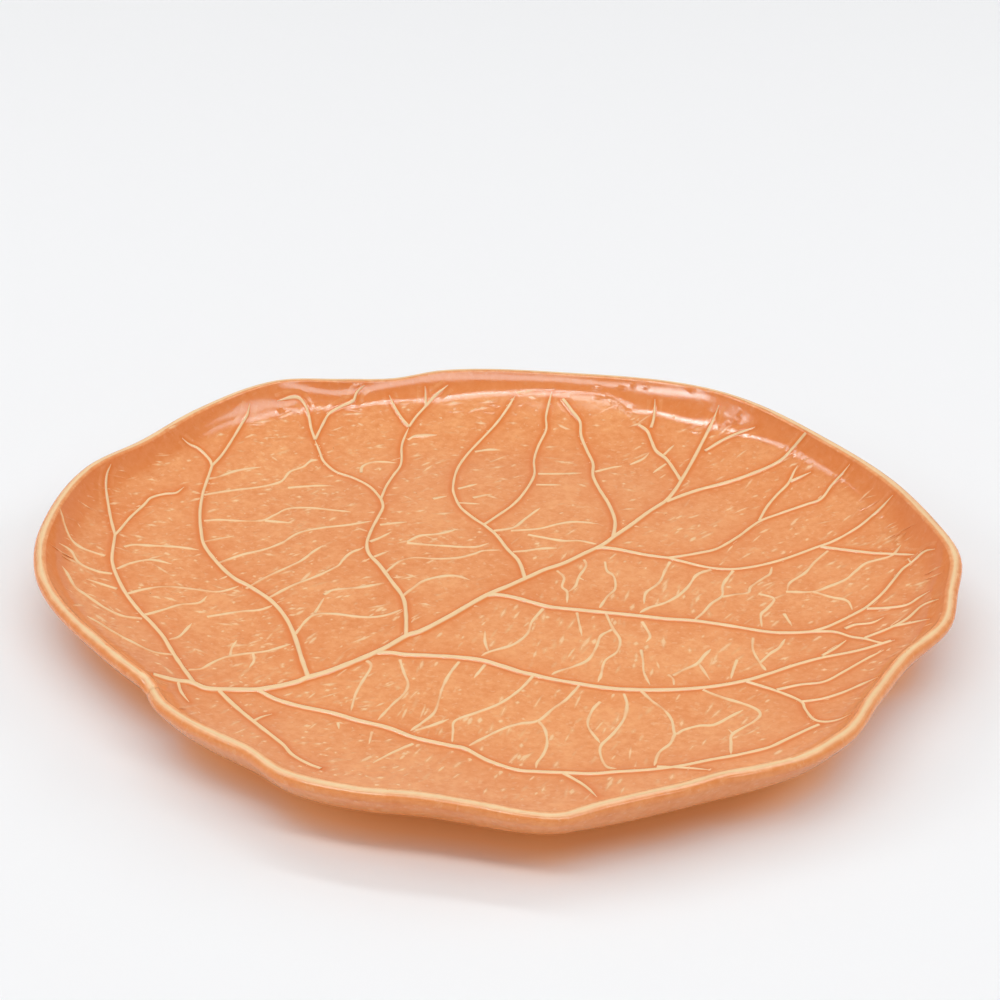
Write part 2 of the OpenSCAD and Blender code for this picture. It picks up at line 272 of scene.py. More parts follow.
def glazed_clay(name):
    """Orange glaze, darker where it pools and where shade is painted in, that breaks to pale clay where a
    piece is bare.
    """
    material = bpy.data.materials.new(name)
    material.use_nodes = True
    tree = material.node_tree
    shader = tree.nodes["Principled BSDF"]
    place = tree.nodes.new("ShaderNodeTexCoord").outputs["Object"]
    bare = tree.nodes.new("ShaderNodeAttribute")
    bare.attribute_name = "bare"
    pool_and_shade = tree.nodes.new("ShaderNodeAttribute")
    pool_and_shade.attribute_name = "pool_and_shade"
    ripple = tree.nodes.new("ShaderNodeAttribute")
    ripple.attribute_name = "ripple"
    grain = noise_of(tree, place, 480, 4, 0.65)
    mottle = noise_of(tree, place, 150, 3)
    broad = noise_of(tree, place, 22, 2)
    thin = ranged(tree, grain, 0.25, 0.75, 0, 0.6)
    thin = sums(tree, "ADD", thin, ranged(tree, mottle, 0.25, 0.75, 0, 0.3))
    thin = sums(tree, "ADD", thin, ranged(tree, broad, 0.3, 0.7, -0.05, 0.15))
    glaze = mixed(tree, thin, (0.76, 0.23, 0.053), (0.92, 0.41, 0.158))
    specks = ranged(tree, noise_of(tree, place, 560, 2), 0.58, 0.72, 0, 0.5)
    glaze = mixed(tree, specks, glaze, (0.93, 0.52, 0.26))
    # Painted shade and pooled glaze: the deep colour darkens the glaze by its mark of pooling and painted
    # shade
    deep_pool_and_shade = ranged(tree, pool_and_shade.outputs["Fac"], 0, 1, 0, 0.95, False)
    glaze = mixed(tree, deep_pool_and_shade, glaze, (0.76, 0.2, 0.034))
    broken = sums(tree, "ADD", bare.outputs["Fac"], ranged(tree, mottle, 0.2, 0.8, -0.12, 0.12, False))
    shown = ranged(tree, broken, 0.1, 0.9)
    clay = mixed(tree, grain, (0.83, 0.55, 0.275), (0.88, 0.62, 0.34))
    link(tree, mixed(tree, shown, glaze, clay), shader.inputs["Base Color"])
    gloss = ranged(tree, mottle, 0.3, 0.7, 0.1, 0.14)
    link(tree, sums(tree, "ADD", gloss, ranged(tree, shown, 0, 1, 0, 0.45)), shader.inputs["Roughness"])
    bump = tree.nodes.new("ShaderNodeBump")
    bump.inputs["Strength"].default_value = 0.25
    bump.inputs["Distance"].default_value = 0.15 * mm
    crawl_rise = 28
    waves = sums(tree, "MULTIPLY", noise_of(tree, place, 420, 1), ripple.outputs["Fac"])
    relief = sums(tree, "ADD", sums(tree, "ADD", grain, mottle), sums(tree, "MULTIPLY", waves, crawl_rise))
    link(tree, relief, bump.inputs["Height"])
    link(tree, bump.outputs["Normal"], shader.inputs["Normal"])
    return material


slab_rings = [(s, 0) for s in (0, 0.2, 0.4, 0.5, 0.6, 0.65, 0.7, 0.75, 0.8, 0.85, 0.9, 0.94, 0.97, 1)]
slab_rings += [(1 + k / 14, 0) for k in range(1, 14)]
slab_rings += [(s, 0) for s in (2, 2.03, 2.06, 2.1, 2.15, 2.2, 2.25, 2.3, 2.35, 2.4, 2.5, 2.6, 2.8, 3)]
slab = moulded_ball("leaf_slab_clay", 480, slab_rings)[0]
mark(slab, "bare", np.ones(len(slab.data.vertices)))
pale_clay = glazed_clay("pale_clay")
slab.data.materials.append(pale_clay)
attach(slab, "root")
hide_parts("leaf_slab")

# The foot is a coil of the same clay luted under the floor and turned true.
# Its tread is wiped free of glaze and sanded, so the plate stands on dry clay.
foot_r = 78 * mm
foot_w = 8 * mm
foot_h = 4 * mm
foot_draft = 1 * mm
foot_round = 0.8 * mm
bpy.ops.object.select_all(action="DESELECT")
bpy.ops.mesh.primitive_torus_add(
    major_segments=192, minor_segments=24, major_radius=foot_r - foot_w / 2, minor_radius=foot_w / 2
)
foot = bpy.context.object
foot.name = foot.data.name = "foot_coil"
middle_r = foot_r - foot_w / 2
for vertex in foot.data.vertices:
    way = Vector((vertex.co.x, vertex.co.y, 0)).normalized()
    across = math.hypot(vertex.co.x, vertex.co.y) - middle_r
    angle = math.atan2(vertex.co.z, across)
    square = max(abs(math.cos(angle)), abs(math.sin(angle)))
    share_x = math.cos(angle) / square
    share_z = math.sin(angle) / square
    tall = (share_z + 1) / 2
    half_w = foot_w / 2 - foot_draft * (1 - tall)
    ease = foot_round * (1 - tall) * max(abs(share_x) - 0.5, 0) ** 2 * 4
    vertex.co = way * (middle_r + share_x * half_w)
    vertex.co.z = max(tall * foot_h, ease)
foot.data.update()
bpy.ops.object.shade_smooth()
dry = bpy.data.materials.new("dry_clay")
dry.use_nodes = True
tree = dry.node_tree
place = tree.nodes.new("ShaderNodeTexCoord").outputs["Object"]
sand = noise_of(tree, place, 900, 3)
speckle = noise_of(tree, place, 120, 4)
clay = mixed(tree, ranged(tree, speckle, 0.3, 0.7), (0.62, 0.50, 0.36), (0.72, 0.61, 0.46))
link(tree, mixed(tree, ranged(tree, sand, 0.62, 0.75), clay, (0.45, 0.34, 0.23)),
     tree.nodes["Principled BSDF"].inputs["Base Color"])
tree.nodes["Principled BSDF"].inputs["Roughness"].default_value = 0.8
bump = tree.nodes.new("ShaderNodeBump")
bump.inputs["Strength"].default_value = 0.5
bump.inputs["Distance"].default_value = 0.1 * mm
link(tree, sand, bump.inputs["Height"])
link(tree, bump.outputs["Normal"], tree.nodes["Principled BSDF"].inputs["Normal"])
foot.data.materials.append(dry)
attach(foot, "root")
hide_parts("foot_ring")

# The coat inside the dish is a glossy orange glaze poured over the pressed face.
# It thins to nothing at the lip, where the pale clay shows through.
root_depth = 0.06 * mm
face_rings = [(0, glaze_t)] + [(s, glaze_t) for s in np.linspace(0.02, 0.7, 56)]
face_rings += [(s, glaze_t) for s in np.linspace(0.71, 1, 40)]
face_rings += [(s, glaze_t * min(1, (1.26 - s) / 0.2)) for s in np.linspace(1.02, 1.26, 13)]
face_rings += [(1.28, -root_depth)]
face_rings += [(s, -root_depth) for s in (1.2, 1.1, 1, 0.95, 0.9, 0.8, 0.7, 0.6, 0.5, 0.4, 0.2, 0)]
face, face_stations, face_coats = moulded_ball("face_coat", 720, face_rings)
lump_h = 0.3 * mm
lump_size = 13 * mm
lump_start = 0.55
lump_fade = 0.15
face_points = np.empty(len(face.data.vertices) * 3)
face.data.vertices.foreach_get("co", face_points)
face_points = face_points.reshape(-1, 3)
on_top = face_coats > -root_depth / 2
for k in np.nonzero(on_top & (face_stations > lump_start))[0]:
    station = face_stations[k]
    swell = min(1, (station - lump_start) / lump_fade) * max(0, min(1, (1 - station) / lump_fade))
    face_points[k, 2] += lump_h * swell * noise.noise(Vector(face_points[k]) / lump_size)
face.data.vertices.foreach_set("co", face_points.ravel())
face.data.update()
mark(face, "bare", np.clip((face_stations - 1.06) / 0.32, 0, 0.75) * on_top)
top_faces = [p.vertices[:] for p in face.data.polygons if all(on_top[v] for v in p.vertices)]
face_tree = BVHTree.FromPolygons([Vector(p) for p in face_points], top_faces)
# Glaze that crawled in the firing: pixel and radius
ripple_spots = [
    (597, 388, 2.5), (598, 398, 2.5), (606, 396, 2.5), (612, 401, 3), (619, 406, 3), (626, 411, 3),
    (633, 416, 3), (646, 421, 2), (690, 427, 2), (697, 432, 2.5), (703, 435, 2.5), (741, 415, 2.5),
    (738, 422, 2), (281, 411, 2.5), (622, 388, 2), (634, 386, 2), (645, 386, 2), (690, 390, 2),
    (718, 428, 2), (728, 424, 2),
]
ripples = np.zeros(len(face_points))
for x, y, r in ripple_spots:
    hit, normal, index, away = face_tree.ray_cast(eye, sight_line(x, y))
    far = np.linalg.norm(face_points - np.array(hit), axis=1) / (r * away / focal_px)
    ripples = np.maximum(ripples, np.clip(1.6 - far, 0, 1))
mark(face, "ripple", ripples * on_top)
orange_glaze = glazed_clay("orange_glaze")
face.data.materials.append(orange_glaze)
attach(face, "root")
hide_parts("face_glaze")

# The coat on the outside is the same glaze, poured from the lip down to the foot.
# It runs thin over the lip and stops short of the foot ring.
back_rings = [(s, glaze_t) for s in (2.6, 2.55, 2.5, 2.45, 2.4, 2.35, 2.3, 2.25, 2.2, 2.15, 2.1)]
back_rings += [(s, glaze_t) for s in (2.06, 2.03, 2, 1.95, 1.9, 1.86, 1.82, 1.78, 1.74, 1.7)]
thinning = (1.66, 1.62, 1.58, 1.54, 1.5, 1.46, 1.42, 1.38, 1.34)
back_rings += [(s, glaze_t * (s - 1.34) / 0.36) for s in thinning]
back_rings += [(1.32, -root_depth)]
back_rings += [(s, -root_depth) for s in (1.4, 1.5, 1.6, 1.7, 1.8, 1.9, 2, 2.1, 2.2, 2.3, 2.4, 2.5, 2.6)]
bpy.ops.object.select_all(action="DESELECT")
bpy.ops.mesh.primitive_torus_add(
    major_segments=480, minor_segments=len(back_rings), major_radius=1, minor_radius=0.25
)
back = bpy.context.object
back.name = back.data.name = "back_coat"
points = np.empty(len(back.data.vertices) * 3)
back.data.vertices.foreach_get("co", points)
points = points.reshape(-1, 3)
turns = np.degrees(np.arctan2(points[:, 1], points[:, 0]))
angles = turns - stem_crowding * np.sin(np.radians(turns - stem_angle))
round_turn = np.arctan2(points[:, 2], np.hypot(points[:, 0], points[:, 1]) - 1) / (2 * np.pi)
row = np.rint(round_turn * len(back_rings)).astype(int) % len(back_rings)
stations, coats = np.array(back_rings).T
back.data.vertices.foreach_set("co", leaf_skin(angles, stations[row], coats[row]).ravel())
back.data.update()
bpy.ops.object.mode_set(mode="EDIT")
bpy.ops.mesh.select_all(action="SELECT")
bpy.ops.mesh.normals_make_consistent(inside=False)
bpy.ops.object.mode_set(mode="OBJECT")
bpy.ops.object.shade_smooth()
mark(back, "bare", np.clip((1.7 - stations[row]) / 0.44, 0, 0.75) * (coats[row] > -root_depth / 2))
# The whole outside coat takes a 0.4 share of the deep glaze colour, so it is evenly darker than the face
mark(back, "pool_and_shade", np.full(len(points), 0.4))
back.data.materials.append(orange_glaze)
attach(back, "root")
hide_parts("back_glaze")

# The coat inside the foot ring is a shallow pool of the same glaze.
# Its edge is rounded where it was sponged back from the foot.
base_r = 68.5 * mm
bpy.ops.object.select_all(action="DESELECT")
bpy.ops.mesh.primitive_cylinder_add(
    vertices=192, radius=base_r, depth=glaze_t, location=(0, 0, foot_h - glaze_t / 2)
)
base = bpy.context.object
base.name = base.data.name = "base_coat"
bpy.ops.object.transform_apply(location=True, rotation=False, scale=False)
rounding = base.modifiers.new("sponged_edge", "BEVEL")
rounding.width = glaze_t * 0.4
rounding.segments = 3
rounding.limit_method = "ANGLE"
bpy.ops.object.modifier_apply(modifier=rounding.name)
bpy.ops.object.shade_smooth_by_angle(angle=math.radians(50))
base.data.materials.append(orange_glaze)
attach(base, "root")
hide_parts("base_glaze")

# The main veins stand up from the leaf as rounded ridges of the same clay: the midrib from the
# stem to the tip, its side veins and their forks. Glaze breaks off their crests and pools beside
# them, and painted shade darkens the glaze along their sides.
midrib_spots = [
    (153, 675), (163, 678), (176, 681), (191, 683), (207, 689), (230, 690), (256, 690), (277, 687),
    (298, 682), (308, 678), (331, 671), (359, 660), (384, 649), (407, 636), (422, 631),
    (449, 617), (468, 606), (488, 595), (507, 587), (525, 579), (545, 570), (563, 564), (584, 554),
    (603, 545), (614, 537), (630, 526), (649, 512), (666, 501), (676, 489), (681, 481), (691, 464),
    (700, 447), (712, 423), (719, 405),
]
side_spots = [
    [(193, 682), (182, 667), (172, 652), (163, 637), (151, 623), (140, 612), (126, 594), (117, 577),
     (113, 566), (112, 556), (115, 535)],
    [(308, 677), (302, 660), (294, 635), (285, 617), (271, 601), (250, 587), (235, 579), (221, 567),
     (205, 547), (201, 531), (200, 512), (203, 493), (208, 478), (212, 466)],
    [(406, 637), (406, 616), (403, 598), (391, 581), (380, 566), (369, 554), (367, 543), (372, 529),
     (379, 516), (383, 507), (381, 499)],
    [(525, 579), (519, 562), (507, 549), (496, 535), (484, 525)],
    [(613, 538), (615, 522), (609, 505), (599, 489), (593, 476), (593, 464), (587, 451), (581, 436),
     (580, 422), (572, 411), (563, 399)],
    [(681, 481), (674, 470), (666, 459), (656, 451), (651, 440), (647, 431), (639, 425)],
    [(218, 690), (230, 702), (245, 715), (264, 730), (283, 745), (292, 755), (308, 764), (321, 769)],
    [(259, 691), (277, 700), (302, 707), (331, 713), (359, 721), (388, 728), (415, 738), (451, 746),
     (465, 749), (488, 761), (516, 770), (537, 772), (564, 773), (592, 774), (619, 772), (651, 770),
     (682, 766), (711, 760), (739, 755), (768, 748), (786, 740), (807, 730), (819, 725)],
    [(374, 653.5), (390, 653), (407, 655), (434, 656), (463, 658), (484, 661), (501, 666), (520, 672),
     (533, 675), (555, 680), (579, 684), (605, 688), (634, 690), (672, 690), (711, 687),
     (745, 681), (769, 674), (796, 665), (822, 658), (853, 652), (872, 647), (891, 641)],
    [(486, 596), (496, 595), (511, 597), (530, 602), (549, 607), (577, 610), (607, 613), (638, 616),
     (665, 619), (695, 621), (730, 626), (767, 632), (792, 633), (811, 632)],
    [(596, 548.5), (604, 548), (620, 550), (645, 555), (668, 558)],
    [(666, 502), (696, 491), (729, 482), (757, 472), (780, 461), (794, 447), (806, 433)],
]
fork_spots = [
    [(115, 535), (111, 520), (108, 503), (106, 487), (107, 474), (111, 464)],
    [(115, 535), (119, 531), (130, 518), (144, 505), (151, 498), (165, 494), (176, 493), (184, 487)],
    [(212, 466), (222, 455), (232, 440), (241, 425), (247, 415), (250, 403)],
    [(212, 466), (209, 459), (199, 449), (189, 444), (182, 438)],
    [(381, 499), (386, 487), (393, 476), (401, 464), (402, 445), (409, 427)],
    [(409, 427), (416, 417), (426, 406), (435, 396), (448, 385)],
    [(409, 427), (403, 420), (395, 408), (389, 395)],
    [(426, 406), (425, 386)],
    [(381, 499), (370, 487), (353, 478), (336, 472), (324, 462), (320, 453), (315, 440)],
    [(315, 440), (311, 428), (309, 417), (305, 405), (296, 397), (277, 401)],
    [(315, 440), (322, 426), (329, 414), (342, 406), (353, 401), (357, 392), (365, 385)],
    [(484, 525), (473, 518), (461, 508), (455, 497), (453, 487), (457, 470), (467, 455), (480, 441),
     (496, 424), (507, 409), (515, 396)],
    [(484, 525), (496, 517), (513, 505), (524, 493), (534, 476), (534, 461), (538, 447), (546, 430),
     (546, 417), (549, 403), (552, 391)],
    [(705, 451), (727, 438), (755, 427)],
    [(651, 428), (654, 417), (655, 399)],
    [(178, 682), (181, 692), (189, 702)],
    [(254, 721), (262, 717), (272, 714)],
    [(564, 774), (575, 780), (586, 787), (597, 797)],
    [(657, 767), (684, 768), (711, 770)],
    [(822, 656), (836, 648), (848, 639)],
    [(747, 682), (773, 690), (800, 701), (805, 709), (813, 719), (824, 722), (838, 720), (851, 714)],
    [(777, 690), (800, 685), (824, 682), (842, 673), (863, 661), (884, 650)],
    [(801, 702), (822, 699), (842, 693), (863, 684), (878, 677)],
    [(811, 632), (830, 626), (853, 615), (867, 607), (882, 594), (893, 581), (902, 570), (911, 563),
     (924, 552), (935, 549)],
    [(911, 563), (907, 557)],
    [(811, 632), (834, 632), (851, 637), (865, 639), (882, 643), (895, 640)],
    [(865, 638), (888, 629), (907, 619), (922, 606), (939, 599)],
    [(845, 629), (855, 625), (872, 623), (884, 617)],
    [(867, 609), (888, 608), (907, 605), (920, 597), (930, 591)],
    [(891, 627), (911, 623), (930, 619)],
    [(668, 558), (683, 556), (700, 553), (717, 549), (738, 537), (759, 522), (782, 513), (805, 505),
     (821, 499), (832, 485), (842, 474), (850, 464)],
    [(759, 521), (767, 507), (777, 495), (788, 484), (794, 472), (798, 465)],
    [(790, 482), (811, 472)],
    [(668, 558), (700, 566), (719, 569), (738, 569), (763, 565), (788, 558), (815, 548), (834, 541),
     (857, 528), (872, 516), (882, 507), (893, 495)],
    [(821, 547), (845, 550), (872, 553), (891, 554), (918, 555)],
]


def smooth_line(spots, step):
    """Points every step pixels along a soft curve through given pixels."""
    spots = [Vector(s) for s in spots]
    spots = [spots[0] * 2 - spots[1]] + spots + [spots[-1] * 2 - spots[-2]]
    line = []
    for p, q, r, s in zip(spots, spots[1:], spots[2:], spots[3:]):
        count = max(2, int((r - q).length / step))
        for k in range(count):
            u = k / count
            line.append(
                0.5 * (2 * q + (r - p) * u + (2 * p - 5 * q + 4 * r - s) * u**2
                       + (3 * q - p - 3 * r + s) * u**3)
            )
    line.append(spots[-2])
    return line


def laid_on_face(spots, step):
    """Carries a line of pixels along the lines of sight to the coat, with points every step metres."""
    laid = []
    pixel_step = 1.5
    for spot in smooth_line(spots, pixel_step):
        hit, normal, index, away = face_tree.ray_cast(eye, sight_line(*spot))
        if hit:
            laid.append(hit)
    along = np.concatenate(([0], np.cumsum([(b - a).length for a, b in zip(laid, laid[1:])])))
    even = np.linspace(0, along[-1], max(3, int(along[-1] / step) + 1))
    coords = np.array(laid)
    return np.column_stack([np.interp(even, along, coords[:, c]) for c in range(3)]), even


def add_ridge(store, path, widths, heights, shape, skirt_lift=0, bare_share=None):
    """Adds one closed ridge along a path; shape rows are (width share, skirt, rise share, bare)."""
    count = len(path)
    first = len(store["points"])
    ahead = np.gradient(path, axis=0)
    ups = []
    for p in path:
        hit, normal, index, away = face_tree.find_nearest(Vector(p))
        ups.append(normal if normal.z > 0 else -normal)
    ups = np.array(ups)
    ups = np.array([ups[max(0, k - 2):k + 3].mean(0) for k in range(count)])
    per_ring = len(shape) + 1
    for k in range(count):
        up = Vector(ups[k]).normalized()
        side = up.cross(Vector(ahead[k])).normalized()
        centre = Vector(path[k])
        for share, skirt, rise, bare in shape:
            across = share * widths[k] + skirt
            hit, normal, index, away = face_tree.find_nearest(centre + side * across)
            store["points"].append(hit + up * (rise * heights[k] if rise else skirt_lift))
            store["bare"].append(bare * (1 if bare_share is None else bare_share[k]))
        store["points"].append(centre - up * 0.3 * mm)
        store["bare"].append(0)
    for k in range(count - 1):
        a = first + k * per_ring
        b = a + per_ring
        for j in range(per_ring):
            n = (j + 1) % per_ring
            store["faces"].append((a + j, b + j, b + n, a + n))
    store["faces"].append(tuple(first + j for j in range(per_ring)))
    last = first + (count - 1) * per_ring
    store["faces"].append(tuple(last + j for j in reversed(range(per_ring))))


def pool_and_shade_depths(points):
    """Depth of the glaze that ran down beside the main veins, with painted shade along their sides, 1 at
    their edges and 0 between them.
    """
    depths = []
    for p in points:
        spot, index, away = vein_tree.find(p)
        off = away - vein_halves[index]
        near = min(1, max(0, pool_reach - off) / pool_fade)
        wide = pool_wash * min(1, max(0, pool_spread - off) / pool_spread)
        depths.append(max(wide, near * near * (3 - 2 * near)))
    return depths


def ridge_piece(name, store, material):
    """Makes one piece of the ridges gathered in a store."""
    mesh = bpy.data.meshes.new(name)
    mesh.from_pydata([tuple(p) for p in store["points"]], [], store["faces"])
    piece = bpy.data.objects.new(name, mesh)
    scene.collection.objects.link(piece)
    mark(piece, "bare", store["bare"])
    mark(piece, "pool_and_shade", pool_and_shade_depths(store["points"]))
    bpy.ops.object.select_all(action="DESELECT")
    piece.select_set(True)
    bpy.context.view_layer.objects.active = piece
    bpy.ops.object.mode_set(mode="EDIT")
    bpy.ops.mesh.select_all(action="SELECT")
    bpy.ops.mesh.normals_make_consistent(inside=False)
    bpy.ops.object.mode_set(mode="OBJECT")
    bpy.ops.object.shade_smooth_by_angle(angle=math.radians(60))
    piece.data.materials.append(material)
    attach(piece, "root")
    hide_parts("leaf_slab")


# Reach of the pooled glaze and painted shade beside the main veins, and of their faint wider wash
pool_reach = 2.4 * mm
pool_spread = 10 * mm
pool_fade = 2 * mm
pool_wash = 0.35
half_shape = [(-0.5, -2.8 * mm, -0.1, 0), (-0.5, -1.6 * mm, 0, 0), (-0.5, -0.8 * mm, 0, 0)]
half_shape += [(-0.66, -0.1 * mm, 0.1, 0), (-0.5, 0, 0.4, 0.35), (-0.36, 0, 0.75, 0.85), (-0.18, 0, 0.95, 1)]
ridge_shape = half_shape + [(0, 0, 1, 1)] + [(-u, -w, h, b) for u, w, h, b in reversed(half_shape)]


def ridge_sizes(path, along, start_w, end_w, start_h, end_h, seed, waver, end_taper):
    """Widths and heights along a vein, wavering, and broader where it runs across the view."""
    u = along / along[-1]
    ways = np.gradient(path, axis=0)
    ways /= np.linalg.norm(ways, axis=1)[:, None]
    narrowest, view_gain, waver_length, tip_share = 0.78, 0.5, 4 * mm, 0.12
    view_right = np.array((math.cos(camera_turn), math.sin(camera_turn), 0))
    broad = narrowest + view_gain * np.abs(ways @ view_right)
    wobble = np.array([noise.noise(Vector((a / waver_length, seed * 7.3, 0))) for a in along])
    ends = np.ones(len(along))
    if end_taper:
        ends *= np.clip((along[-1] - along) / end_taper, tip_share, 1) ** 0.7
    widths = (start_w + (end_w - start_w) * u) * (1 + waver * wobble) * ends * broad
    heights = (start_h + (end_h - start_h) * u) * (1 + waver * wobble) * ends
    return widths, heights


# Each kind: lines, start and end width, start and end height, seed, waver, tapered end (millimetres)
vein_kinds = [
    ([midrib_spots], 2.1, 1.2, 0.6, 0.35, 1, 0.1, 10), (side_spots, 1.5, 1.15, 0.42, 0.32, 10, 0.14, 0),
    (fork_spots, 1.1, 0.9, 0.32, 0.22, 40, 0.2, 5),
]
main_veins = []
for lines, start_w, end_w, start_h, end_h, seed, waver, taper in vein_kinds:
    for number, spots in enumerate(lines):
        path, along = laid_on_face(spots, 0.8 * mm)
        sizes = (start_w * mm, end_w * mm, start_h * mm, end_h * mm)
        main_veins.append((path, *ridge_sizes(path, along, *sizes, seed + number, waver, taper * mm)))
vein_tree = KDTree(sum(len(path) for path, widths, heights in main_veins))
vein_halves = []
for path, widths, heights in main_veins:
    for spot, width in zip(path, widths):
        vein_tree.insert(spot, len(vein_halves))
        vein_halves.append(width / 2)
vein_tree.balance()
store = {"points": [], "faces": [], "bare": []}
# Each skirt has a lift of its own, so that no two lie in one surface where veins meet
for number, (path, widths, heights) in enumerate(main_veins):
    add_ridge(store, path, widths, heights, ridge_shape, (0.02 + 0.005 * (number % 13)) * mm)
ridge_piece("main_veins", store, pale_clay)
# Painted shade: the glaze on the inner wall is darkened by a 0.65 share of the deep colour
on_wall = np.clip((face_stations - 0.76) / 0.1, 0, 1) * np.clip((1.05 - face_stations) / 0.05, 0, 1)
mark(face, "pool_and_shade", np.maximum(pool_and_shade_depths(face_points), 0.65 * on_wall))

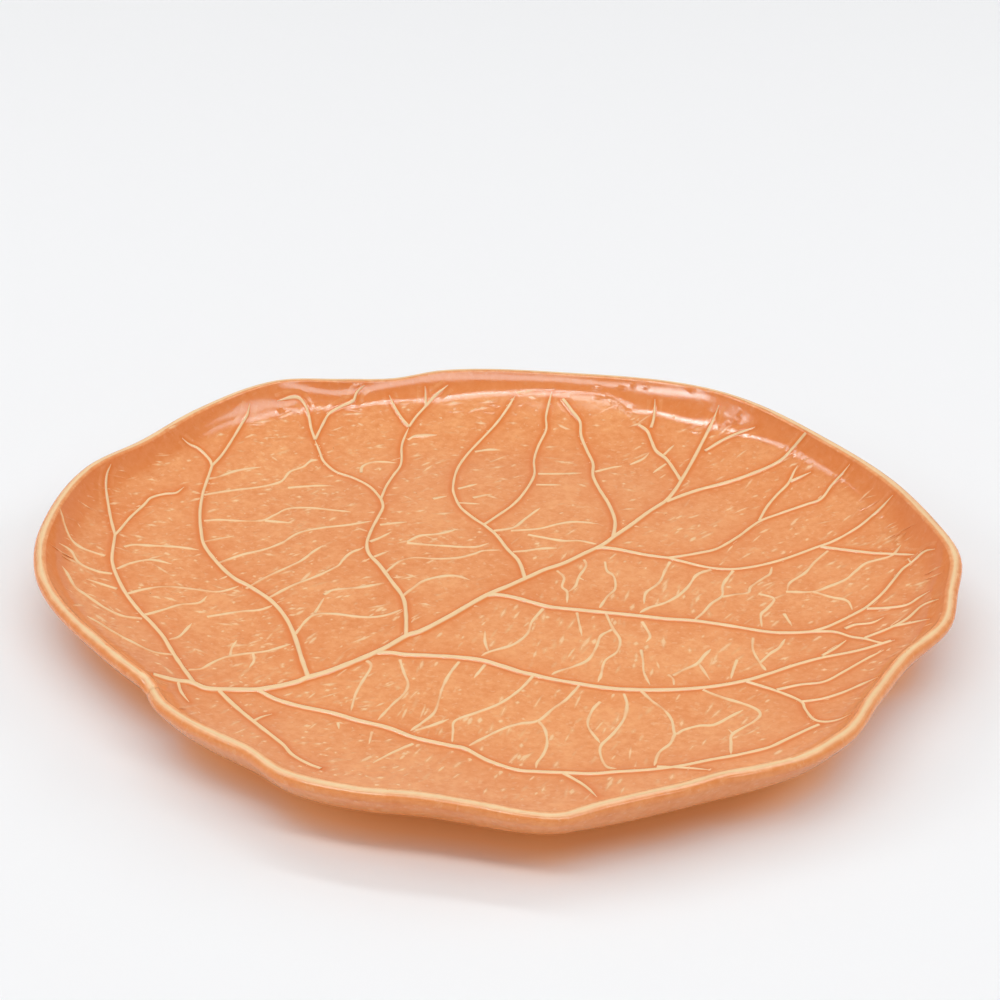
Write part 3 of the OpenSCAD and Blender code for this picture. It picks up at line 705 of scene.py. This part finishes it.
# The cross veins tie the side veins together like a net. They are low and uneven, and many of
# them fade out before they meet the next vein.
cross_spots = [
    [(208, 479), (219, 477), (236, 471), (261, 467)],
    [(204, 495), (229, 491), (254, 488), (271, 485), (282, 481), (290, 472), (303, 467), (311, 461),
     (320, 460)],
    [(288, 488), (315, 486), (334, 486)],
    [(204, 521), (219, 520), (238, 521), (261, 521), (275, 515), (288, 509), (309, 508), (330, 510),
     (351, 512)],
    [(265, 521), (292, 523)],
    [(204, 542), (219, 539), (234, 536)],
    [(219, 563), (242, 555), (263, 550), (282, 543), (299, 533), (322, 528), (349, 525), (372, 521)],
    [(246, 589), (263, 579), (282, 570), (301, 561), (313, 552), (324, 545)],
    [(269, 598), (292, 586), (315, 577), (326, 572), (338, 566), (343, 560), (351, 553), (363, 548)],
    [(324, 595), (334, 590), (357, 588), (380, 584)],
    [(294, 636), (305, 622), (315, 615), (334, 614), (359, 617), (376, 617), (391, 614), (403, 609)],
    [(315, 613), (324, 598)],
    [(370, 542), (382, 537), (391, 532)],
    [(374, 557), (389, 551)],
    [(386, 572), (399, 562), (414, 558), (435, 559), (458, 558), (474, 554), (483, 551), (500, 550)],
    [(403, 596), (412, 589), (424, 581), (439, 577), (455, 576), (470, 580)],
    [(407, 542), (420, 536), (439, 534), (458, 529)],
    [(407, 543), (426, 545), (445, 546), (458, 547), (477, 547), (489, 543)],
    [(408, 440), (416, 436), (437, 435)],
    [(361, 473), (363, 466), (376, 462), (397, 463)],
    [(475, 452), (487, 450), (500, 450)],
    [(433, 499), (447, 496)],
    [(380, 525), (407, 522)],
    [(458, 489), (477, 484)],
    [(494, 531), (509, 529), (517, 526), (524, 520), (540, 508)],
    [(511, 531), (538, 529), (559, 524), (576, 522), (599, 524)],
    [(528, 535), (545, 538), (563, 541), (580, 541), (599, 545)],
    [(513, 552), (526, 551), (540, 549), (557, 548)],
    [(536, 485), (561, 485)],
    [(538, 474), (563, 474), (582, 473)],
    [(595, 472), (611, 468), (622, 466)],
    [(630, 465), (643, 459), (649, 453)],
    [(666, 464), (653, 473)],
    [(664, 455), (674, 445)],
    [(473, 498), (492, 494)],
    [(459, 503), (480, 504)],
    [(543, 609), (532, 622), (528, 633), (518, 642), (507, 647), (489, 652), (480, 657)],
    [(488, 651), (485, 642), (485, 631)],
    [(577, 613), (579, 623), (582, 636)],
    [(606, 614), (613, 629), (620, 640), (617, 652), (605, 661), (601, 675), (598, 682)],
    [(612, 630), (601, 636), (596, 648), (588, 660), (573, 667), (557, 672), (550, 676)],
    [(642, 622), (650, 636), (646, 642)],
    [(641, 650), (643, 661), (644, 673), (650, 685)],
    [(668, 675), (673, 679), (674, 686)],
    [(673, 676), (684, 670), (697, 664), (704, 656), (711, 649)],
    [(699, 664), (705, 673), (710, 680)],
    [(737, 660), (733, 671), (731, 679)],
    [(753, 638), (753, 650), (760, 663), (767, 672)],
    [(760, 663), (770, 654), (779, 648), (785, 639)],
    [(557, 571), (564, 578), (562, 587), (567, 592), (567, 603)],
    [(584, 560), (586, 566), (579, 577), (575, 587), (568, 592)],
    [(579, 578), (584, 580)],
    [(605, 562), (607, 571), (614, 577), (615, 589), (607, 597), (599, 609)],
    [(670, 562), (665, 571), (659, 583), (646, 593), (644, 604)],
    [(711, 570), (697, 575), (688, 587), (678, 596), (665, 603), (649, 608), (638, 614)],
    [(733, 571), (723, 585), (722, 596), (711, 604), (703, 613), (693, 621)],
    [(722, 597), (735, 595), (748, 593), (751, 587), (764, 578), (770, 574), (772, 566)],
    [(759, 594), (774, 599), (767, 609), (761, 615), (762, 628)],
    [(784, 614), (792, 626)],
    [(828, 551), (815, 562), (805, 573), (790, 583), (787, 592)],
    [(786, 592), (813, 592), (828, 587), (845, 580), (855, 572), (867, 563), (891, 556), (901, 545)],
    [(813, 592), (830, 597), (847, 601), (853, 611)],
    [(533, 676), (524, 686), (512, 696), (497, 705), (476, 713), (455, 721), (453, 732), (452, 744)],
    [(579, 686), (566, 700), (553, 709), (538, 721), (520, 724), (503, 729), (484, 738), (467, 747)],
    [(538, 721), (545, 730), (547, 744), (543, 755), (537, 763), (536, 770)],
    [(624, 694), (627, 705), (624, 719), (613, 734), (601, 746), (601, 757), (607, 767), (619, 769)],
    [(641, 691), (653, 702), (665, 711), (672, 721), (675, 734), (684, 730), (699, 726), (714, 725),
     (730, 717), (743, 710)],
    [(675, 734), (670, 744), (659, 753), (654, 767)],
    [(703, 690), (720, 697), (749, 706), (760, 713), (755, 721), (733, 734), (731, 744), (731, 755)],
    [(733, 734), (728, 729)],
    [(600, 702), (592, 711), (588, 726), (600, 743)],
    [(367, 661), (371, 667), (361, 684), (355, 696), (351, 711)],
    [(400, 660), (404, 673), (408, 684), (404, 694), (392, 705), (377, 721)],
    [(459, 662), (449, 675), (442, 689), (439, 700), (434, 713), (422, 723), (409, 732)],
    [(485, 665), (474, 678)],
    [(415, 731), (434, 725), (449, 719)],
    [(413, 744), (392, 753), (373, 763)],
    [(372, 732), (369, 744)],
    [(338, 723), (339, 729)],
    [(112, 574), (96, 571), (79, 563), (71, 551), (59, 543)],
    [(117, 589), (101, 584), (86, 579)],
    [(105, 556), (92, 552), (80, 547), (71, 539), (65, 526), (60, 508)],
    [(142, 619), (122, 616), (103, 607), (86, 595), (75, 587), (67, 573), (62, 566)],
    [(172, 655), (153, 652), (132, 642), (115, 633), (99, 623), (87, 616)],
    [(127, 594), (142, 590), (163, 587), (191, 589), (214, 592), (228, 590), (239, 586)],
    [(145, 615), (163, 610), (180, 605), (199, 603), (207, 596)],
    [(169, 640), (180, 636), (192, 623)],
    [(207, 617), (239, 612), (260, 610), (274, 605)],
    [(189, 670), (201, 669), (212, 663), (224, 658), (245, 654), (268, 651), (291, 644)],
    [(230, 656), (232, 648), (237, 640)],
    [(253, 654), (254, 661), (249, 668)],
    [(117, 569), (132, 563), (151, 560), (172, 564)],
    [(124, 547), (134, 545), (153, 546), (176, 547), (199, 550)],
]
thin_half = [(-1, 0, -0.2, 0), (-0.7, 0, 0.12, 0.1), (-0.4, 0, 0.65, 0.7)]
thin_shape = thin_half + [(0, 0, 1, 1)] + [(-u, w, h, b) for u, w, h, b in reversed(thin_half)]
cross_sizes = (1 * mm, 0.9 * mm, 0.2 * mm, 0.16 * mm)
wear_length = 6 * mm
store = {"points": [], "faces": [], "bare": []}
for number, spots in enumerate(cross_spots):
    path, along = laid_on_face(spots, 0.7 * mm)
    widths, heights = ridge_sizes(path, along, *cross_sizes, 100 + number, 0.4, 2.5 * mm)
    wear = np.array([noise.noise(Vector((a / wear_length, number * 5.1, 9))) for a in along])
    add_ridge(store, path, widths, heights, thin_shape, 0, np.clip(0.85 + 0.5 * wear, 0.35, 1))
ridge_piece("cross_veins", store, pale_clay)

# The flecks are the finest veinlets of the leaf, pressed as short low dashes between the veins.
# They lie along the cross veins near them, and the glaze breaks over most of them.
# How they lean: pixel and angle in degrees
fleck_leans = [
    (90, 560, -35), (100, 640, -30), (150, 540, 5), (250, 500, 6), (300, 570, 22), (350, 480, 5),
    (450, 540, 3), (450, 450, 5), (560, 480, 0), (620, 520, 5), (600, 590, 80), (700, 600, 60),
    (560, 650, 65), (450, 690, 60), (650, 650, 75), (650, 740, 60), (760, 600, 30), (830, 580, 30),
    (880, 560, 25), (900, 620, 22), (850, 680, 18), (780, 720, 30), (350, 740, 10), (280, 720, 20),
    (700, 470, 30), (800, 500, 30),
]
fleck_count = 2300
fleck_h = 0.05 * mm
longest_fleck = 12 * mm
floor_upright = 0.9
wall_upright = 0.7
draw = np.random.default_rng(7)
lean_at = np.array(fleck_leans, dtype=float)
store = {"points": [], "faces": [], "bare": []}
fleck_shape = [(-1, 0, -0.4, 0), (-0.4, 0, 0.7, 0.7), (0, 0, 1, 1), (0.4, 0, 0.7, 0.7), (1, 0, -0.4, 0)]
made = 0
while made < fleck_count:
    x, y = draw.uniform(45, 955), draw.uniform(385, 800)
    if 420 < x < 850 and draw.random() < 0.45:
        continue
    hit, normal, index, away = face_tree.ray_cast(eye, sight_line(x, y))
    if not hit or abs(normal.z) < (floor_upright if 170 < x < 800 else wall_upright):
        continue
    nearness = 1 / ((lean_at[:, 0] - x) ** 2 + (lean_at[:, 1] - y) ** 2 + 400)
    lean = math.radians((lean_at[:, 2] * nearness**2).sum() / (nearness**2).sum() + draw.normal(0, 12))
    reach = draw.gamma(3, 2.2)
    width = draw.uniform(0.7, 1.5) * mm * (1 if abs(normal.z) > floor_upright else 0.4)
    bareness = draw.uniform(0.25, 0.75)
    ends = [(x - reach * math.cos(lean), y + reach * math.sin(lean)), (x, y + draw.normal(0, 0.6)),
            (x + reach * math.cos(lean), y - reach * math.sin(lean))]
    if any(face_tree.ray_cast(eye, sight_line(*spot))[0] is None for spot in ends):
        continue
    path, along = laid_on_face(ends, reach * 0.25 * mm)
    if along[-1] > longest_fleck:
        continue
    taper = np.clip(np.minimum(along, along[-1] - along) / (0.4 * along[-1]), 0.1, 1) ** 0.7
    add_ridge(store, path, width * taper, fleck_h * taper, fleck_shape, 0, bareness * taper)
    made += 1
ridge_piece("leaf_flecks", store, pale_clay)

# The table is a seamless white sweep under studio light: soft lamps from four sides and an even
# glow from all round. Under the leaf it has painted warm bounce light in its shadow, a warm tint and
# a faint warm glow; just round the leaf a painted cool, paler tint lightens the shadow's edge.
table_r = 8
# Rings of the table in the leaf's outline: share of its size, share of painted warm bounce light, share of
# painted cool tint
table_rings = [
    (0.6, 1, 0), (0.8, 1, 0), (0.85, 1, 0), (0.88, 0.9, 0), (0.91, 0.6, 0), (0.94, 0.22, 0.4),
    (0.97, 0.06, 0.8), (1, 0, 0.8), (1.1, 0, 0.5), (1.25, 0, 0.2), (1.5, 0, 0),
]
turns = np.arange(0, 360, 2)
outline = rim_plan(turns)
rings = [outline * share for share, painted_bounce, painted_cool_lift in table_rings]
rings.append(np.column_stack((np.cos(np.radians(turns)), np.sin(np.radians(turns)))) * table_r)
count = len(turns)
faces = [tuple(range(count))]
for k in range(len(rings) - 1):
    for j in range(count):
        n = (j + 1) % count
        faces.append((k * count + j, k * count + count + j, k * count + count + n, k * count + n))
mesh = bpy.data.meshes.new("white_table")
mesh.from_pydata([(x, y, 0) for ring in rings for x, y in ring], [], faces)
table = bpy.data.objects.new("white_table", mesh)
scene.collection.objects.link(table)
mark(table, "painted_bounce", np.repeat([painted_bounce for share, painted_bounce, painted_cool_lift in table_rings] + [0], count))
mark(table, "painted_cool_lift", np.repeat([painted_cool_lift for share, painted_bounce, painted_cool_lift in table_rings] + [0], count))
white = bpy.data.materials.new("white_table")
white.use_nodes = True
tree = white.node_tree
painted_bounce = tree.nodes.new("ShaderNodeAttribute")
painted_bounce.attribute_name = "painted_bounce"
painted_cool_lift = tree.nodes.new("ShaderNodeAttribute")
painted_cool_lift.attribute_name = "painted_cool_lift"
shader = tree.nodes["Principled BSDF"]
# Painted light: a cool, paler tint round the leaf, and under it a warm tint and a faint warm glow from no
# lamp
sheet = mixed(tree, painted_cool_lift.outputs["Fac"], (0.895, 0.9, 0.912), (0.895, 0.945, 0.965))
link(tree, mixed(tree, painted_bounce.outputs["Fac"], sheet, (0.9, 0.6, 0.32)), shader.inputs["Base Color"])
painted_bounce_glow = mixed(tree, painted_bounce.outputs["Fac"], (0, 0, 0), (0.11, 0.055, 0.016))
link(tree, painted_bounce_glow, shader.inputs["Emission Color"])
shader.inputs["Emission Strength"].default_value = 1
shader.inputs["Roughness"].default_value = 0.9
shader.inputs["Specular IOR Level"].default_value = 0
table.data.materials.append(white)
world = bpy.data.worlds.new("studio")
scene.world = world
world.use_nodes = True
world.node_tree.nodes["Background"].inputs["Color"].default_value = (1, 1, 1, 1)
world.node_tree.nodes["Background"].inputs["Strength"].default_value = 0.53


def add_lamp(name, place, across, up, length, width, power):
    """A flat lamp whose long side runs across and whose back points up."""
    bpy.ops.object.select_all(action="DESELECT")
    bpy.ops.object.light_add(type="AREA", location=place)
    lamp = bpy.context.object
    lamp.name = name
    lamp.rotation_euler = Matrix((across, up.cross(across), up)).transposed().to_euler()
    lamp.data.shape = "RECTANGLE"
    lamp.data.size = length
    lamp.data.size_y = width
    lamp.data.energy = power
    return lamp


def strip_light(name, far, turn, lean, spin, shift, length, width, power):
    """A lamp over the leaf, turned right of the view, leaning off the zenith, spun and slid along."""
    way = Vector((math.sin(math.radians(turn)), math.cos(math.radians(turn)), 0))
    way.rotate(Matrix.Rotation(camera_turn, 3, "Z"))
    way = way * math.sin(math.radians(lean)) + Vector((0, 0, math.cos(math.radians(lean))))
    along = camera_turn + math.radians(spin)
    across = Vector((math.cos(along), math.sin(along), 0))
    across = (across - way * across.dot(way)).normalized()
    return add_lamp(name, way * far + across * shift, across, way, length, width, power)


# Soft boxes hidden from reflections give the light; strips and bars seen only in reflections give
# the highlights of the glaze, and are tinted cool
highlight_tint = (0.62, 0.92, 1)
strip_far = 2.2
strip_lean = 24
strip_spin = -17
# Each box: distance, turn, lean, spin, length, width, power
for name, far, turn, lean, spin, length, width, power in (
    ("front_box", 2.5, 180, strip_lean, strip_spin, 3.8, 0.35, 21.5),
    ("back_box", 2.5, -10, strip_lean, strip_spin, 3.2, 0.25, 10.5),
    ("left_box", 2.2, -98, 58, 73, 1.8, 0.6, 7.4), ("right_box", 2.2, 82, 58, 73, 1.8, 0.6, 7.4),
):
    box = strip_light(name, far, turn, lean, spin, 0, length, width, power)
    box.visible_glossy = False
# Each strip: distance, turn, shift along itself, length, width, power
for name, far, turn, shift, length, width, power in (
    ("front_strip", strip_far, 180, 0, 3.4, 0.45, 28), ("front_tube", 2.1, 180, -1.2, 1.05, 0.1, 6),
    ("back_strip", strip_far, -10, 0, 2.8, 0.4, 19), ("back_tube", 2.1, -10, -0.4, 0.75, 0.1, 4.5),
):
    strip = strip_light(name, far, turn, strip_lean, strip_spin, shift, length, width, power)
    strip.data.color = highlight_tint
    strip.visible_diffuse = False


def sky_spot(x, y):
    """The place over the leaf that the coat mirrors at a pixel."""
    sight = sight_line(x, y)
    hit, normal, index, away = face_tree.ray_cast(eye, sight)
    return hit + sight.reflect(normal) * strip_far


# Each bar: the pixels where its two ends are mirrored, width, radiance
for name, start, end, width, radiance in (
    ("streak_bar", (604, 394), (621, 408), 0.07, 22), ("end_bar", (744, 412), (738, 424), 0.05, 28),
    ("left_bar", (228, 412), (302, 402), 0.45, 5), ("spark_bar", (279, 410), (283, 412), 0.05, 25),
):
    near, far = sky_spot(*start), sky_spot(*end)
    across = (far - near).normalized()
    middle = (near + far) / 2
    up = (middle - across * middle.dot(across)).normalized()
    length = (far - near).length
    bar = add_lamp(name, middle, across, up, length, width, radiance * math.pi * length * width)
    bar.data.color = highlight_tint
    bar.visible_diffuse = False
